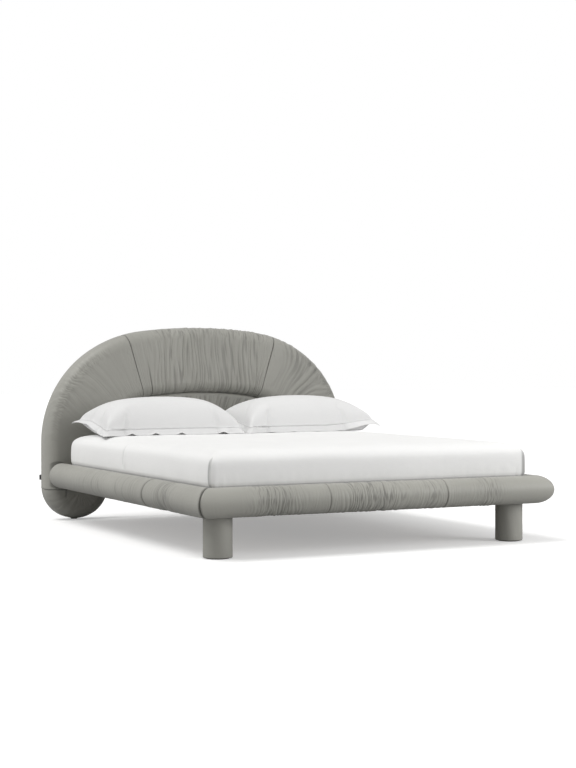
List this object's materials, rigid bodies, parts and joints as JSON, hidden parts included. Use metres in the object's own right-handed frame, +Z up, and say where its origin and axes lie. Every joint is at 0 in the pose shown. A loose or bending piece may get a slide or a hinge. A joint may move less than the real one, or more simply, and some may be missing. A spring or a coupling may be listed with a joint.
{
  "type": "bed",
  "caption": "Upholstered platform bed with a horseshoe headboard on round feet, padded roll rails, drum legs, slatted base, mattress and flanged pillows.",
  "frame": {"origin": "middle of the whole bed's footprint, on the floor", "axes": "+X across the bed to its right side seen from the foot, +Y from foot to headboard, +Z up"},
  "size_m": [2.03, 2.4, 1.155],
  "materials": {
    "leather": "soft, gathered, low sheen",
    "board": "plain plywood",
    "slat_wood": "smooth laminated birch",
    "back_lining": "black lining cloth over thin board",
    "black_steel": "satin powder coat",
    "zinc_steel": "zinc plated",
    "black_plastic": "moulded",
    "black_rubber": "matt",
    "ticking": "knitted ticking",
    "sheet_cotton": "plain woven cotton",
    "pillow_ticking": "plain woven cotton over a soft filling",
    "pillowcase_cotton": "plain woven cotton with a stitched flange"
  },
  "bodies": {
    "bedstead": {"arch_pad_center": "leather", "arch_pad_left": "leather", "arch_pad_right": "leather", "lobe_pad_left": "leather", "lobe_pad_right": "leather", "inner_pad": "leather", "side_roll_left": "leather", "side_roll_right": "leather", "foot_roll": "leather", "leg_sleeve_left": "leather", "leg_sleeve_right": "leather", "headboard_board": "board", "side_rail_board_left": "board", "side_rail_board_right": "board", "foot_rail_board": "board", "leg_core_left": "board", "leg_core_right": "board", "slats_left": "slat_wood", "slats_right": "slat_wood", "headboard_back_panel": "back_lining", "rail_tongue_left": "black_steel", "rail_tongue_right": "black_steel", "corner_bracket_left": "black_steel", "corner_bracket_right": "black_steel", "side_ledge_left": "black_steel", "side_ledge_right": "black_steel", "head_crossbar": "black_steel", "center_beam": "black_steel", "beam_hanger_foot": "black_steel", "beam_hanger_head": "black_steel", "tongue_bolts": "zinc_steel", "corner_bolts": "zinc_steel", "leg_bolt_left": "zinc_steel", "leg_bolt_right": "zinc_steel", "ledge_screws": "zinc_steel", "crossbar_bolts": "zinc_steel", "hanger_screws": "zinc_steel", "slat_shoes_left": "black_plastic", "slat_shoes_right": "black_plastic", "slat_shoes_center": "black_plastic", "lobe_glide_left": "black_plastic", "lobe_glide_right": "black_plastic", "leg_glide_left": "black_plastic", "leg_glide_right": "black_plastic", "wall_bumper_left": "black_rubber", "wall_bumper_right": "black_rubber"},
    "mattress": {"mattress": "ticking", "sheet": "sheet_cotton"},
    "pillow_left": {"pillow_left": "pillow_ticking", "pillowcase_left": "pillowcase_cotton"},
    "pillow_right": {"pillow_right": "pillow_ticking", "pillowcase_right": "pillowcase_cotton"}
  },
  "joints": [
    {"name": "mattress_lift", "type": "slide", "parent": "bedstead", "child": "mattress", "axis": [0, 0, 1], "range_m": [0, 0.25]},
    {"name": "pillow_left_lift", "type": "slide", "parent": "mattress", "child": "pillow_left", "axis": [0, 0, 1], "range_m": [0, 0.2]},
    {"name": "pillow_right_lift", "type": "slide", "parent": "mattress", "child": "pillow_right", "axis": [0, 0, 1], "range_m": [0, 0.2]}
  ]
}
